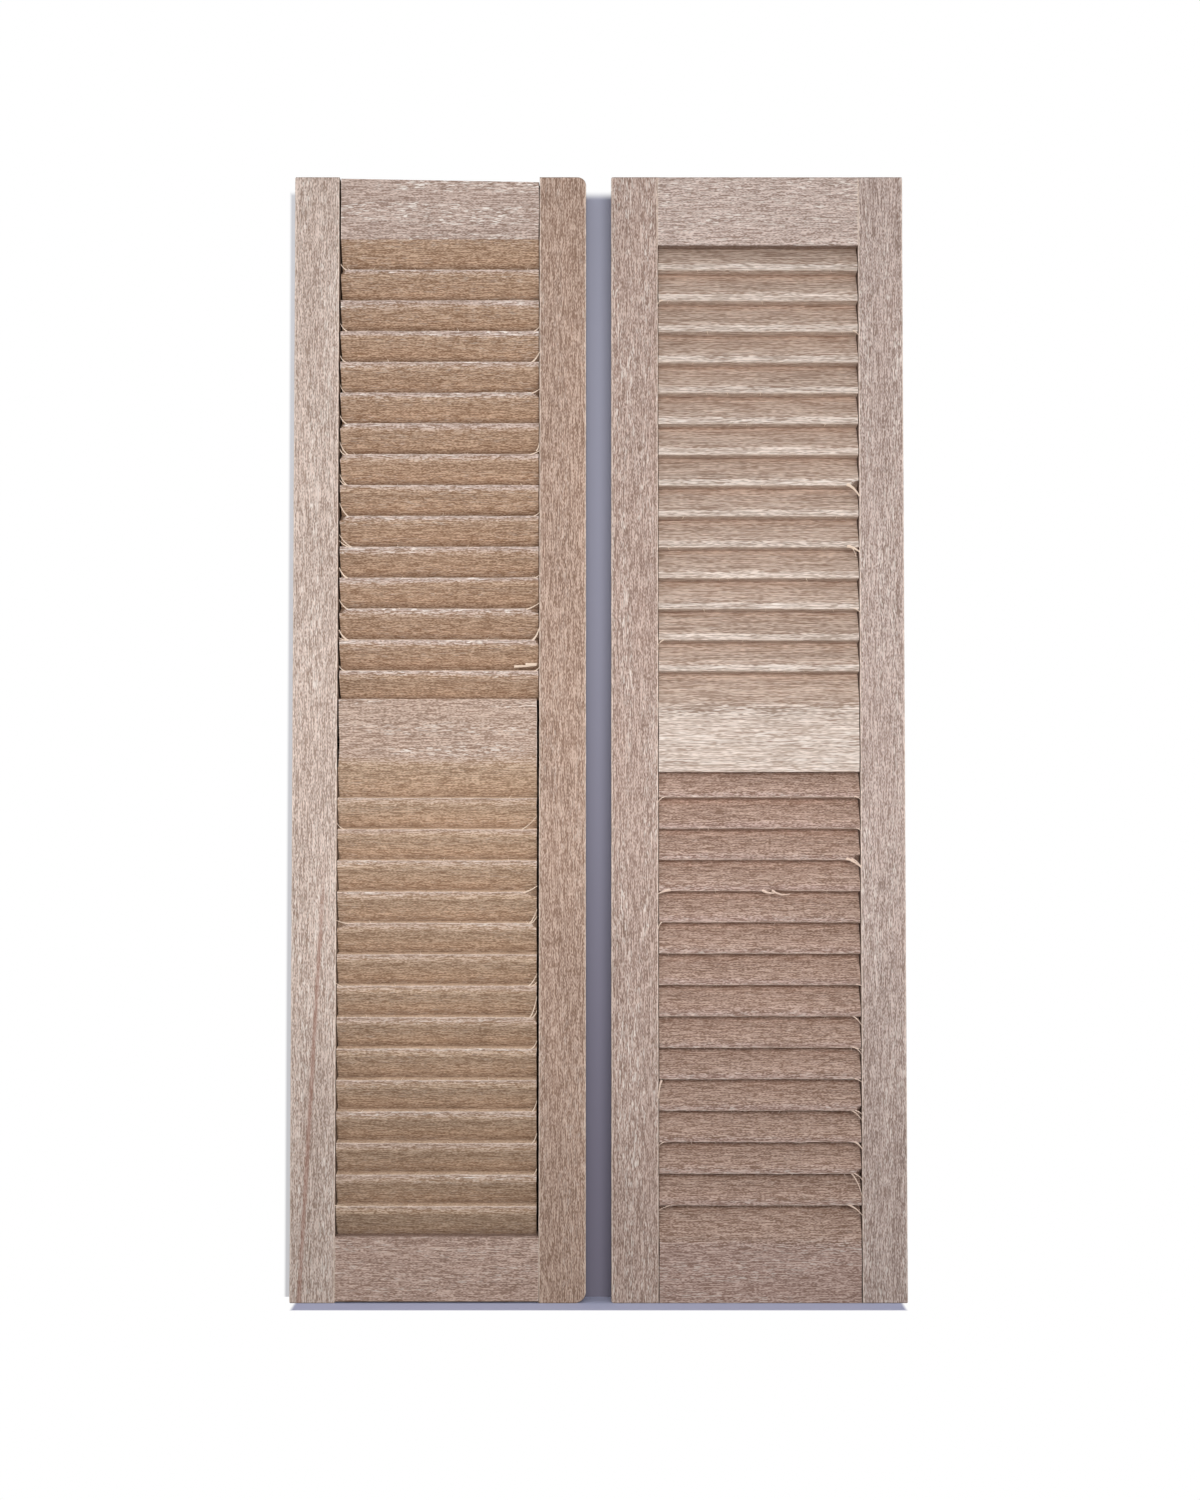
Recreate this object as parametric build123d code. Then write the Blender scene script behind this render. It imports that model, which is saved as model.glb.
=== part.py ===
"""Pair of one-twelfth scale louvred shutters in bare wood.

Each shutter is five pieces butted and glued edge to edge: two stiles, two louvred boards and a plain
end rail. The slats of a louvred board are not loose: they are a saw-tooth section machined across one
solid board, which also holds the flat rail above them. The right shutter is a second one of the same
make, turned end for end, so its slats face the other way.

Millimetres. X runs across the pair, Y runs from the front face to the wall, Z runs up. The origin is
midway between the shutters, on the line of their lower ends, at half their thickness.
"""

from build123d import *
from dataclasses import dataclass
import os

# Stock and layout
thickness = 3.2
shutter_gap = 2.9
outer_stile_width = 5.1
inner_stile_width = 5.35
infill_width = 23.05

# Saw-tooth section shared by all four louvred boards
slat_count = 14
slat_pitch = 3.555
slat_land = 0.8
cut_depth = 1.7
step_lean = 0.25
nose_radius = 0.9

# Eased edges
stile_arris = 0.12
rail_arris = 0.08


@dataclass
class BoardCut:
    """How one louvred board was cut to length and how well it fills the width between the stiles."""

    rail_face: float
    end_slope: float
    outer_gap: float
    inner_gap: float

    @property
    def length(self):
        """Length of the board along the stiles."""
        return self.rail_face + slat_count * slat_pitch + self.end_slope


@dataclass
class ShutterCut:
    """The lengths that differ from one shutter to the other, as seen with the plain rail at the foot."""

    upper: BoardCut
    lower: BoardCut
    end_rail: float
    stile_proud: float
    inner_head_round: float
    inner_foot_round: float
    outer_round: float

    @property
    def height(self):
        """Height of the stiles, which stand a little proud of the infill at both ends."""
        return self.upper.length + self.lower.length + self.end_rail + 2 * self.stile_proud


left_cut = ShutterCut(
    upper=BoardCut(rail_face=7.05, end_slope=3.2, outer_gap=0.2, inner_gap=0.0),
    lower=BoardCut(rail_face=7.8, end_slope=3.35, outer_gap=0.0, inner_gap=0.25),
    end_rail=7.3,
    stile_proud=0.18,
    inner_head_round=1.0,
    inner_foot_round=1.3,
    outer_round=0.15,
)
right_cut = ShutterCut(
    upper=BoardCut(rail_face=7.4, end_slope=2.85, outer_gap=0.0, inner_gap=0.0),
    lower=BoardCut(rail_face=8.0, end_slope=2.8, outer_gap=0.0, inner_gap=0.0),
    end_rail=7.97,
    stile_proud=0.02,
    inner_head_round=0.3,
    inner_foot_round=0.2,
    outer_round=0.15,
)

shutter_width = outer_stile_width + infill_width + inner_stile_width
front = -thickness / 2


def slope_depth(reach):
    """Depth of a slat's slope at a distance behind its lip."""
    foot = slat_pitch - step_lean
    along = min(reach, foot) - slat_land
    return cut_depth * along / (foot - slat_land)


def board_section(cut):
    """Saw-tooth outline of a board: x from the front face to the back, y up from the louvred end."""
    outline = [(front, cut.length), (-front, cut.length), (-front, 0)]
    outline.append((front + slope_depth(cut.end_slope), 0))
    for slat in range(slat_count):
        lip = cut.end_slope + slat * slat_pitch
        outline.append((front, lip - slat_land))
        outline.append((front, lip))
        outline.append((front + cut_depth, lip + step_lean))
    outline.append((front, cut.length - cut.rail_face))
    section = make_face(Polyline(*outline, close=True))
    front_corners = section.vertices().group_by(Axis.X)[0].sort_by(Axis.Y)
    noses = front_corners[: 2 * slat_count : 2]
    section = fillet(noses, nose_radius)
    return fillet(section.vertices().group_by(Axis.Y)[-1], rail_arris)


def louvred_board(cut):
    """One solid board between the stiles: saw-tooth slats below its flat rail face, plain back."""
    run = infill_width - cut.outer_gap - cut.inner_gap
    board = extrude(Plane.YZ * board_section(cut), run)
    return Pos(outer_stile_width + cut.outer_gap, 0, 0) * board


def plain_rail(height):
    """The plain end rail with its foot at z = 0 and its four long edges eased."""
    section = RectangleRounded(thickness, height, rail_arris, align=(Align.CENTER, Align.MIN))
    return Pos(outer_stile_width, 0, 0) * extrude(Plane.YZ * section, infill_width)


def stile(width, height, outward, foot_round, head_round):
    """One full-height stile from x = 0 to its width, with every arris eased.

    outward is the X direction in which the shutter's own edge lies, where both corners are rounded
    in elevation.
    """
    elevation = Rectangle(width, height, align=Align.MIN)
    foot_corner = elevation.vertices().group_by(Axis.Y)[0].sort_by(outward)[-1]
    elevation = fillet(foot_corner, foot_round)
    head_corner = elevation.vertices().group_by(Axis.Y)[-1].sort_by(outward)[-1]
    elevation = fillet(head_corner, head_round)
    upright = extrude(Plane.XZ * elevation, thickness / 2, both=True)
    faces = upright.faces().sort_by(Axis.Y)
    return fillet(faces[0].edges() + faces[-1].edges(), stile_arris)


def shutter(cut):
    """The five pieces of one shutter, outer stile first along X, plain rail at the foot."""
    rail_foot = cut.stile_proud
    lower_foot = rail_foot + cut.end_rail
    upper_foot = lower_foot + cut.lower.length
    outer = stile(outer_stile_width, cut.height, -Axis.X, cut.outer_round, cut.outer_round)
    inner = stile(inner_stile_width, cut.height, Axis.X, cut.inner_foot_round, cut.inner_head_round)
    return {
        "outer_stile": outer,
        "inner_stile": Pos(outer_stile_width + infill_width, 0, 0) * inner,
        "upper_louvred_board": Pos(0, 0, upper_foot) * louvred_board(cut.upper),
        "lower_louvred_board": Pos(0, 0, lower_foot) * louvred_board(cut.lower),
        "end_rail": Pos(0, 0, rail_foot) * plain_rail(cut.end_rail),
    }


def turned_names(pieces):
    """Rename the boards of a shutter that stands on its head, so upper and lower say where they are."""
    swap = {"upper_louvred_board": "lower_louvred_board", "lower_louvred_board": "upper_louvred_board"}
    return {swap.get(name, name): piece for name, piece in pieces.items()}


def build_pair():
    """Both shutters in the pair's frame, by node name."""
    left_place = Pos(-shutter_gap / 2 - shutter_width, 0, 0)
    right_place = Pos(shutter_gap / 2 + shutter_width, 0, right_cut.height) * Rot(0, 180, 0)
    nodes = {}
    for name, piece in shutter(left_cut).items():
        nodes["left_" + name] = left_place * piece
    for name, piece in turned_names(shutter(right_cut)).items():
        nodes["right_" + name] = right_place * piece
    return nodes


os.makedirs("parts", exist_ok=True)
for node_name, node_shape in build_pair().items():
    export_step(node_shape, "parts/" + node_name + ".step")
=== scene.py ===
"""A pair of small louvred shutters in bare wood, dressed for rendering.

Metres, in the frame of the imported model: X runs across the pair, Y from the front face to the back and
Z up. Each wooden piece is a finely cut copy of its own solid, worn where cutter and sandpaper went, and
has a wood finish of its own. Sizes in the classes are millimetres, which MM turns into metres.
"""

import logging
import math
import random
from dataclasses import dataclass, field
from enum import Enum
from typing import ClassVar

import bmesh
import bpy
from mathutils import Matrix, Vector, noise


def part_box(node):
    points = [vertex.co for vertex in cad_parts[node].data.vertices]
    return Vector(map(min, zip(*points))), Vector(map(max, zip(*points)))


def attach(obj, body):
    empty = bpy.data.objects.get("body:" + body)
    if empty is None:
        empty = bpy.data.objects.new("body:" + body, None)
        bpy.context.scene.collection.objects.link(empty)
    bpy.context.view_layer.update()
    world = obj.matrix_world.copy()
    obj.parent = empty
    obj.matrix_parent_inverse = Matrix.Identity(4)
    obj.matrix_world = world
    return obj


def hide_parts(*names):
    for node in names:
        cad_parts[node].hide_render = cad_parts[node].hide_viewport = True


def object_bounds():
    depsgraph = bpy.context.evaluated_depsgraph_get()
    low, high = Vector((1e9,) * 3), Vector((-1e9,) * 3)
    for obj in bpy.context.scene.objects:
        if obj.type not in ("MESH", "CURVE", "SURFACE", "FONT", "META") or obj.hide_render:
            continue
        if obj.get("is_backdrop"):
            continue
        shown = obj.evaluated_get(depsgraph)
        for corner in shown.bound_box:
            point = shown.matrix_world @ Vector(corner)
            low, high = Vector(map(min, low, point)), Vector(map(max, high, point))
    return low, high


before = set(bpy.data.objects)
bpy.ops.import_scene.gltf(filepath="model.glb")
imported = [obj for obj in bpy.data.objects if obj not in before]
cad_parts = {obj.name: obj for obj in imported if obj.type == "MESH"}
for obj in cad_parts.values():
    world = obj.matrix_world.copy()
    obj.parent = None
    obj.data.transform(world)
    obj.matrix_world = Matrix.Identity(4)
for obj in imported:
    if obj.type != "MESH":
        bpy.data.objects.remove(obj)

MM = 0.001
THICKNESS = 3.2
FRONT = -THICKNESS / 2
SEED_STRIDE = 7.31
UPWARD = Vector((0, 0, 1))
SIDEWAYS = Vector((1, 0, 0))
Shade = tuple[int, int, int]
Socket = bpy.types.NodeSocket
Sockets = bpy.types.bpy_prop_collection
report = logging.getLogger("shutters")


class GrainAxis(Enum):
    """Which way the fibres of a piece run."""

    ACROSS = "across"
    UPRIGHT = "upright"


class Lip(Enum):
    """On which edge of each slat the lip is, as the sign of Z from the root to the lip."""

    ABOVE = 1
    BELOW = -1


class End(Enum):
    """One end of a piece, as the sign of X."""

    LEFT = -1
    RIGHT = 1


LEFT, RIGHT = End


def linear(shade: Shade) -> tuple[float, float, float, float]:
    """Turn an sRGB shade from 0 to 255 into a socket's linear colour, with an alpha of 1."""
    parts = [value / 255 for value in shade]
    spread = [part / 12.92 if part <= 0.04045 else ((part + 0.055) / 1.055) ** 2.4 for part in parts]
    return (spread[0], spread[1], spread[2], 1.0)


def stand(name: str, data: bpy.types.ID) -> bpy.types.Object:
    """Put a mesh, lamp or camera into the scene, and return the object that holds it."""
    thing = bpy.data.objects.new(name, data)
    bpy.context.scene.collection.objects.link(thing)
    return thing


def even_steps(start: float, stop: float, step: float) -> list[float]:
    """Share a stretch into even steps of about a given size, and list where they meet and end."""
    count = round((stop - start) / step)
    return [start + (stop - start) * place / count for place in range(count + 1)]


@dataclass(frozen=True)
class Ripple:
    """Smooth unevenness of a face: its height, and the length and width of its waves, in millimetres."""

    height: float
    length: float = 1.0
    width: float = 1.0

    def at(self, x: float, z: float, seed: float) -> float:
        """Give the height at a place, from about minus to plus the full height."""
        place = Vector((x / self.length, z / self.width, seed * SEED_STRIDE))
        return self.height * noise.noise(place)


@dataclass(frozen=True)
class Layer:
    """One noise of the wood grain, drawn in millimetres with X along the fibres.

    along and across are how often it changes in a millimetre, shift keeps it apart from the other
    layers, and span is the stretch of its grey over which its mask goes from 0 to 1.
    """

    along: float
    across: float
    shift: float = 0.0
    detail: float = 0.0
    roughness: float = 0.5
    span: tuple[float, float] = (0.0, 1.0)


@dataclass
class NodeBench:
    """A node tree with short calls for the nodes that the finishes are made of."""

    tree: bpy.types.NodeTree

    def add(self, kind: str, **settings: object) -> bpy.types.Node:
        """Add a node of a kind, set its attributes and return it."""
        node = self.tree.nodes.new(kind)
        for name, value in settings.items():
            setattr(node, name, value)
        return node

    def feed(self, socket: Socket, value: object) -> None:
        """Link a socket to another, or set it to a constant."""
        if isinstance(value, Socket):
            self.tree.links.new(value, socket)
        else:
            socket.default_value = value

    def place(self) -> Socket:
        """Give the place on the object, in metres."""
        return self.add("ShaderNodeTexCoord").outputs["Object"]

    def split(self, vector: object) -> Sockets:
        """Split a vector into the sockets X, Y and Z."""
        node = self.add("ShaderNodeSeparateXYZ")
        self.feed(node.inputs[0], vector)
        return node.outputs

    def mark(self, name: str) -> Socket:
        """Read a mark that the tools left on the mesh, from 0 to 1."""
        return self.add("ShaderNodeAttribute", attribute_name=name).outputs["Fac"]

    def math(self, operation: str, *values: object) -> Socket:
        """Add a Math node on the given values and return its result."""
        node = self.add("ShaderNodeMath", operation=operation)
        for socket, value in zip(node.inputs, values):
            self.feed(socket, value)
        return node.outputs[0]

    def times(self, first: object, second: object) -> Socket:
        """Multiply two values."""
        return self.math("MULTIPLY", first, second)

    def fade(self, value: object, start: float, end: float, low: float = 0, high: float = 1) -> Socket:
        """Map a value smoothly from the span start to end onto low to high."""
        node = self.add("ShaderNodeMapRange", interpolation_type="SMOOTHSTEP")
        self.feed(node.inputs["Value"], value)
        bounds = {"From Min": start, "From Max": end, "To Min": low, "To Max": high}
        for name, bound in bounds.items():
            self.feed(node.inputs[name], bound)
        return node.outputs[0]

    def mix(self, factor: object, first: object, second: object, blend: str = "MIX") -> Socket:
        """Mix two colours by a factor and return the colour."""
        node = self.add("ShaderNodeMix", data_type="RGBA", blend_type=blend)
        self.feed(node.inputs["Factor"], factor)
        self.feed(node.inputs[6], first)
        self.feed(node.inputs[7], second)
        return node.outputs[2]

    def blend(self, factor: object, first: object, second: object) -> Socket:
        """Mix two shaders by a factor and return the shader."""
        node = self.add("ShaderNodeMixShader")
        for socket, value in zip(node.inputs, (factor, first, second)):
            self.feed(socket, value)
        return node.outputs[0]

    def shade(self, colour: object, tone: object) -> Socket:
        """Make a colour lighter or darker by a factor."""
        node = self.add("ShaderNodeVectorMath", operation="SCALE")
        self.feed(node.inputs[0], colour)
        self.feed(node.inputs["Scale"], tone)
        return node.outputs[0]

    def stain(self, colour: object, mask: object, shade: Shade, amount: float) -> Socket:
        """Lay a shade over a colour where a mask is 1."""
        return self.mix(self.times(mask, amount), colour, linear(shade))

    def noise(self, vector: object, layer: Layer) -> Socket:
        """Draw the noise of a layer.

        Args:
            vector: The place on the grain, in millimetres with X along the fibres.
            layer: How often the noise changes and how much detail it has.

        Returns:
            The grey of the noise.
        """
        stretch = self.add("ShaderNodeMapping")
        self.feed(stretch.inputs["Vector"], vector)
        stretch.inputs["Scale"].default_value = (layer.along, layer.across, layer.across)
        stretch.inputs["Location"].default_value = (layer.shift, layer.shift * 0.7, layer.shift * 1.3)
        node = self.add("ShaderNodeTexNoise")
        self.feed(node.inputs["Vector"], stretch.outputs[0])
        node.inputs["Scale"].default_value = 1.0
        node.inputs["Detail"].default_value = layer.detail
        node.inputs["Roughness"].default_value = layer.roughness
        return node.outputs[0]

    def mask(self, vector: object, layer: Layer) -> Socket:
        """Draw the mask of a layer, which is 1 where its noise is past the end of its span."""
        return self.fade(self.noise(vector, layer), *layer.span)


SWAY = Layer(0.22, 0.5, detail=2)
LONG_FIBRES = Layer(0.6, 13.0, shift=5)
SHORT_FIBRES = Layer(3.2, 14.0)
RINGS = Layer(0.13, 1.7, shift=7, detail=2, roughness=0.4)
BREAKS = Layer(0.55, 2.8, shift=41, detail=1)
BANDS = Layer(0.035, 0.75, shift=3, detail=3, roughness=0.55, span=(0.36, 0.64))
BLOTCHES = Layer(0.09, 0.22, shift=11, detail=2, span=(0.35, 0.65))
PORES = Layer(0.8, 10.0, shift=17, span=(0.63, 0.72))
DASHES = Layer(1.1, 10.0, shift=29, span=(0.6, 0.72))
DASH_ROWS = Layer(0.05, 0.7, shift=37, detail=1, span=(0.4, 0.6))
RING_COUNT = 5.5
FIBRE_SPAN = (0.38, 0.62)
FIBRE_POWER = 1.3


def build_grain_group() -> bpy.types.NodeTree:
    """Make the shader group that draws wood grain on a vector in millimetres, with X along the fibres.

    Returns:
        The group. Its masks run from 0 to 1: Fibre is the fine light and dark streaks, Line the thin
        wavy dark lines, Ray the soft pale stretches between them, Band the growth rings, Blotch the
        slow change of tone, Pore the short dark slits and Fleck the pale dashes.
    """
    group = bpy.data.node_groups.new("wood_grain", "ShaderNodeTree")
    group.interface.new_socket("Vector", in_out="INPUT", socket_type="NodeSocketVector")
    group.interface.new_socket("Waver", in_out="INPUT", socket_type="NodeSocketFloat")
    bench = NodeBench(group)
    given = bench.add("NodeGroupInput").outputs
    sway = bench.math("SUBTRACT", bench.noise(given["Vector"], SWAY), 0.5)
    push = bench.times(sway, given["Waver"])
    shove = bench.add("ShaderNodeCombineXYZ")
    bench.feed(shove.inputs["Y"], push)
    bench.feed(shove.inputs["Z"], push)
    bent = bench.add("ShaderNodeVectorMath", operation="ADD")
    bench.feed(bent.inputs[0], given["Vector"])
    bench.feed(bent.inputs[1], shove.outputs[0])
    line = bent.outputs[0]
    short = bench.times(bench.noise(line, SHORT_FIBRES), 0.5)
    fine = bench.math("MULTIPLY_ADD", bench.noise(line, LONG_FIBRES), 0.5, short)
    turns = bench.math("FRACT", bench.times(bench.noise(line, RINGS), RING_COUNT))
    off = bench.math("ABSOLUTE", bench.math("SUBTRACT", turns, 0.5))
    broken = bench.noise(line, BREAKS)
    masks = {
        "Fibre": bench.math("POWER", bench.fade(fine, *FIBRE_SPAN), FIBRE_POWER),
        "Line": bench.times(bench.fade(off, 0.2, 0.04), bench.fade(broken, 0.44, 0.56)),
        "Ray": bench.times(bench.fade(off, 0.34, 0.47), bench.fade(broken, 0.56, 0.46)),
        "Band": bench.mask(line, BANDS),
        "Blotch": bench.mask(given["Vector"], BLOTCHES),
        "Pore": bench.mask(line, PORES),
        "Fleck": bench.times(bench.mask(line, DASHES), bench.mask(line, DASH_ROWS)),
    }
    for name in masks:
        group.interface.new_socket(name, in_out="OUTPUT", socket_type="NodeSocketFloat")
    made = bench.add("NodeGroupOutput")
    for name, mask in masks.items():
        bench.feed(made.inputs[name], mask)
    return group


SANDED_DEPTHS = (0.4 * MM, 0.02 * MM)
# Depths over which the painted highlight of an edge fades.
EDGE_HIGHLIGHT_DEPTHS = (0.3 * MM, 0.1 * MM)
# Depths over which painted shade darkens the slats' roots.
ROOT_SHADE_DEPTHS = (1.1 * MM, 1.72 * MM)
# Depths over which root_painted_light works: painted light in the shaded roots of the right boards, painted
# shade in those of the left boards.
ROOT_PAINTED_LIGHT_DEPTHS = (1.15 * MM, 1.55 * MM)
# Painted shade: the wood is darkened towards the bottom, down to FOOT_SHADE_TONE, where the light falls
# off.
FOOT_SHADE_HEIGHTS = (-5 * MM, 60 * MM)
FOOT_SHADE_TONE = 0.8
RELIEF_DEPTH = 0.012 * MM
PATCH_SHARE = 0.3
SEED_STEPS = (31.7, 13.3, 23.9)
# Pale fibre dashes, partly a painted sheen.
FLECK_AND_SHEEN = (246, 238, 232)
TORN = (240, 219, 200)
# Painted highlight on lips, arrises and board ends, partly the pale of rubbed wear.
WORN_AND_HIGHLIGHT = (250, 232, 218)
# Brown of the painted shade in seams and chipped pockets; the ends of the sticks are darkened with it too.
SEAM_AND_POCKET_SHADE = (74, 50, 38)
STREAK = (222, 206, 190)
RING_BROWN = (150, 100, 82)
DARK_WARMTH = (0.97, 0.87, 0.78, 1.0)


@dataclass(frozen=True)
class GrowthLine:
    """A brown line that a growth ring leaves on the face of an upright piece.

    It runs straight from foot to head, which are places in X and Z, and fades out below the head.
    """

    foot: tuple[float, float]
    head: tuple[float, float]
    width: float
    strength: float
    fade_out: float = 12.0


@dataclass(frozen=True)
class WoodFinish:
    """One piece's wood: its shades, and how strongly each feature of the grain shows.

    Shades are sRGB from 0 to 255. Sanded wood is the front face, machined wood is what saw and cutter
    left, on the slopes, edges and back, and torn is the shade of lifted slivers. waver is how far the
    fibres swing from straight, fibre_length how long they are beside the usual, and relief how deep the
    grain is. burrs is the least and the most whiskers on one lip. root_painted_light is how much
    lighter the slats are painted at their roots, as painted light there, and below 0 how much darker,
    as painted shade. root_shade_show is how strongly painted shade darkens the roots, and
    fleck_and_sheen_show how strongly the pale dashes show, pale fibres that are partly a painted sheen.
    """

    grain: GrainAxis
    sanded: Shade
    machined: Shade
    line: Shade = (128, 92, 70)
    torn: Shade = TORN
    fibre_show: float = 0.7
    line_show: float = 0.12
    ray_show: float = 0.1
    band_show: float = 0.05
    blotch_show: float = 0.06
    pore_show: float = 0.18
    fleck_and_sheen_show: float = 0.7
    root_shade_show: float = 0.12
    waver: float = 0.35
    fibre_length: float = 1.0
    relief: float = 0.7
    root_painted_light: float = 0.0
    burrs: tuple[int, int] = (1, 4)
    seed: float = 0.0
    ring: GrowthLine | None = None

    def material(self, name: str, grain_group: bpy.types.NodeTree) -> bpy.types.Material:
        """Build the material.

        Args:
            name: The material's name.
            grain_group: The shared wood grain group.

        Returns:
            The finished material.
        """
        material = bpy.data.materials.new(name)
        material.use_nodes = True
        bench = NodeBench(material.node_tree)
        place = bench.place()
        axes = bench.split(place)
        depth = bench.math("ADD", axes["Y"], -FRONT * MM)
        # The polish_and_highlight mark is how far sandpaper reached, and near 1 it also lays the painted
        # highlight.
        polish_and_highlight = bench.mark("polish_and_highlight")
        show = self.lay_grain(bench, place, grain_group)
        patches = bench.math("MULTIPLY_ADD", show["Fibre"], PATCH_SHARE, polish_and_highlight)
        patches = bench.math("MULTIPLY_ADD", show["Band"], PATCH_SHARE, patches)
        reached = bench.fade(bench.math("SUBTRACT", patches, 0.28), 0.0, 0.6)
        face = bench.times(bench.fade(depth, *SANDED_DEPTHS), reached)
        colour = bench.mix(face, linear(self.machined), linear(self.sanded))
        colour = self.grain_colour(bench, show, face, colour)
        # Painted shade: the slats' roots are darkened with the shade of the grain lines.
        colour = bench.stain(colour, bench.fade(depth, *ROOT_SHADE_DEPTHS), self.line, self.root_shade_show)
        if self.ring:
            colour = self.ring_colour(bench, axes, colour)
        # Painted highlight on lips, arrises and board ends, partly pale rubbed wear.
        patchy = bench.fade(show["Fibre"], 0.0, 1.0, 0.55, 1.0)
        worn_and_lit = bench.times(bench.fade(polish_and_highlight, 0.72, 1.0), patchy)
        edge = bench.times(worn_and_lit, bench.fade(depth, *EDGE_HIGHLIGHT_DEPTHS))
        colour = bench.stain(colour, edge, WORN_AND_HIGHLIGHT, 0.6)
        # Painted shade in the seams and chipped pockets, and the darker ends of the sticks.
        colour = bench.stain(colour, bench.mark("painted_shade"), SEAM_AND_POCKET_SHADE, 0.7)
        colour = bench.stain(colour, bench.mark("torn"), self.torn, 0.9)
        # Painted light lifts the shaded roots of the right boards; below 0 it is painted shade that darkens
        # the roots of the left boards.
        lift = bench.fade(depth, *ROOT_PAINTED_LIGHT_DEPTHS, 1.0, 1.0 + self.root_painted_light)
        # Painted shade: darker towards the bottom, where the light falls off.
        foot = bench.fade(axes["Z"], *FOOT_SHADE_HEIGHTS, FOOT_SHADE_TONE, 1.0)
        colour = bench.shade(colour, bench.times(lift, foot))
        shader = material.node_tree.nodes["Principled BSDF"]
        bench.feed(shader.inputs["Base Color"], colour)
        bench.feed(shader.inputs["Roughness"], bench.fade(show["Fibre"], 0, 1, 0.88, 0.68))
        shader.inputs["Specular IOR Level"].default_value = 0.3
        height = bench.math("SUBTRACT", show["Fibre"], bench.times(show["Pore"], 0.9))
        height = bench.math("SUBTRACT", height, bench.times(show["Line"], 0.5))
        bump = bench.add("ShaderNodeBump")
        bump.inputs["Strength"].default_value = self.relief
        bump.inputs["Distance"].default_value = RELIEF_DEPTH
        bench.feed(bump.inputs["Height"], height)
        bench.feed(shader.inputs["Normal"], bump.outputs[0])
        return material

    def lay_grain(self, bench: NodeBench, place: Socket, grain_group: bpy.types.NodeTree) -> Sockets:
        """Lay the grain so that its fibres run along the piece.

        Args:
            bench: The material's bench.
            place: The place on the object, in metres.
            grain_group: The shared wood grain group.

        Returns:
            The masks of the grain, by name.
        """
        turn = bench.add("ShaderNodeMapping")
        bench.feed(turn.inputs["Vector"], place)
        usual, stretched = 1 / MM, 1 / MM / self.fibre_length
        if self.grain is GrainAxis.UPRIGHT:
            turn.inputs["Scale"].default_value = (usual, usual, stretched)
            turn.inputs["Rotation"].default_value = (0, math.pi / 2, 0)
        else:
            turn.inputs["Scale"].default_value = (stretched, usual, usual)
        turn.inputs["Location"].default_value = [self.seed * step for step in SEED_STEPS]
        grain = bench.add("ShaderNodeGroup", node_tree=grain_group)
        bench.feed(grain.inputs["Vector"], turn.outputs[0])
        grain.inputs["Waver"].default_value = self.waver
        return grain.outputs

    def grain_colour(self, bench: NodeBench, show: Sockets, face: Socket, colour: Socket) -> Socket:
        """Draw the grain over the plain colour of the wood.

        Args:
            bench: The material's bench.
            show: The masks of the grain.
            face: The mask of sanded wood, where the pale flecks show best.
            colour: The plain colour.

        Returns:
            The colour with the grain.
        """
        tone = bench.math("MULTIPLY_ADD", show["Ray"], self.ray_show, 1.0)
        swings = {"Fibre": self.fibre_show, "Band": self.band_show, "Blotch": self.blotch_show}
        for name, amount in swings.items():
            swing = bench.math("SUBTRACT", show[name], 0.5)
            tone = bench.math("MULTIPLY_ADD", swing, amount, tone)
        colour = bench.shade(colour, tone)
        dark = bench.fade(show["Fibre"], 0.6, 0.0, 0.0, 0.9)
        colour = bench.mix(dark, colour, DARK_WARMTH, "MULTIPLY")
        colour = bench.stain(colour, bench.fade(show["Fibre"], 0.35, 1.0), STREAK, 0.22)
        colour = bench.stain(colour, show["Line"], self.line, self.line_show)
        colour = bench.stain(colour, show["Pore"], self.line, self.pore_show)
        # Pale fibre dashes, partly a painted sheen, strongest on sanded wood.
        pale = bench.times(show["Fleck"], bench.fade(face, 0.0, 1.0, 0.25, 1.0))
        return bench.stain(colour, pale, FLECK_AND_SHEEN, self.fleck_and_sheen_show)

    def ring_colour(self, bench: NodeBench, axes: Sockets, colour: Socket) -> Socket:
        """Draw the growth line over a colour.

        Args:
            bench: The material's bench.
            axes: X, Y and Z on the object.
            colour: The colour so far.

        Returns:
            The colour with the line on it.
        """
        (foot_x, foot_z), (head_x, head_z) = self.ring.foot, self.ring.head
        width = self.ring.width
        lean = (head_x - foot_x) / (head_z - foot_z)
        rise = bench.math("SUBTRACT", axes["Z"], foot_z * MM)
        centre = bench.math("ADD", bench.times(rise, lean), foot_x * MM)
        off = bench.math("ABSOLUTE", bench.math("SUBTRACT", axes["X"], centre))
        near = bench.fade(off, width * MM, 0.25 * width * MM)
        low = bench.fade(axes["Z"], head_z * MM, (head_z - self.ring.fade_out) * MM)
        mask = bench.times(bench.times(near, low), self.ring.strength)
        return bench.mix(mask, colour, linear(RING_BROWN))


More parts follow.
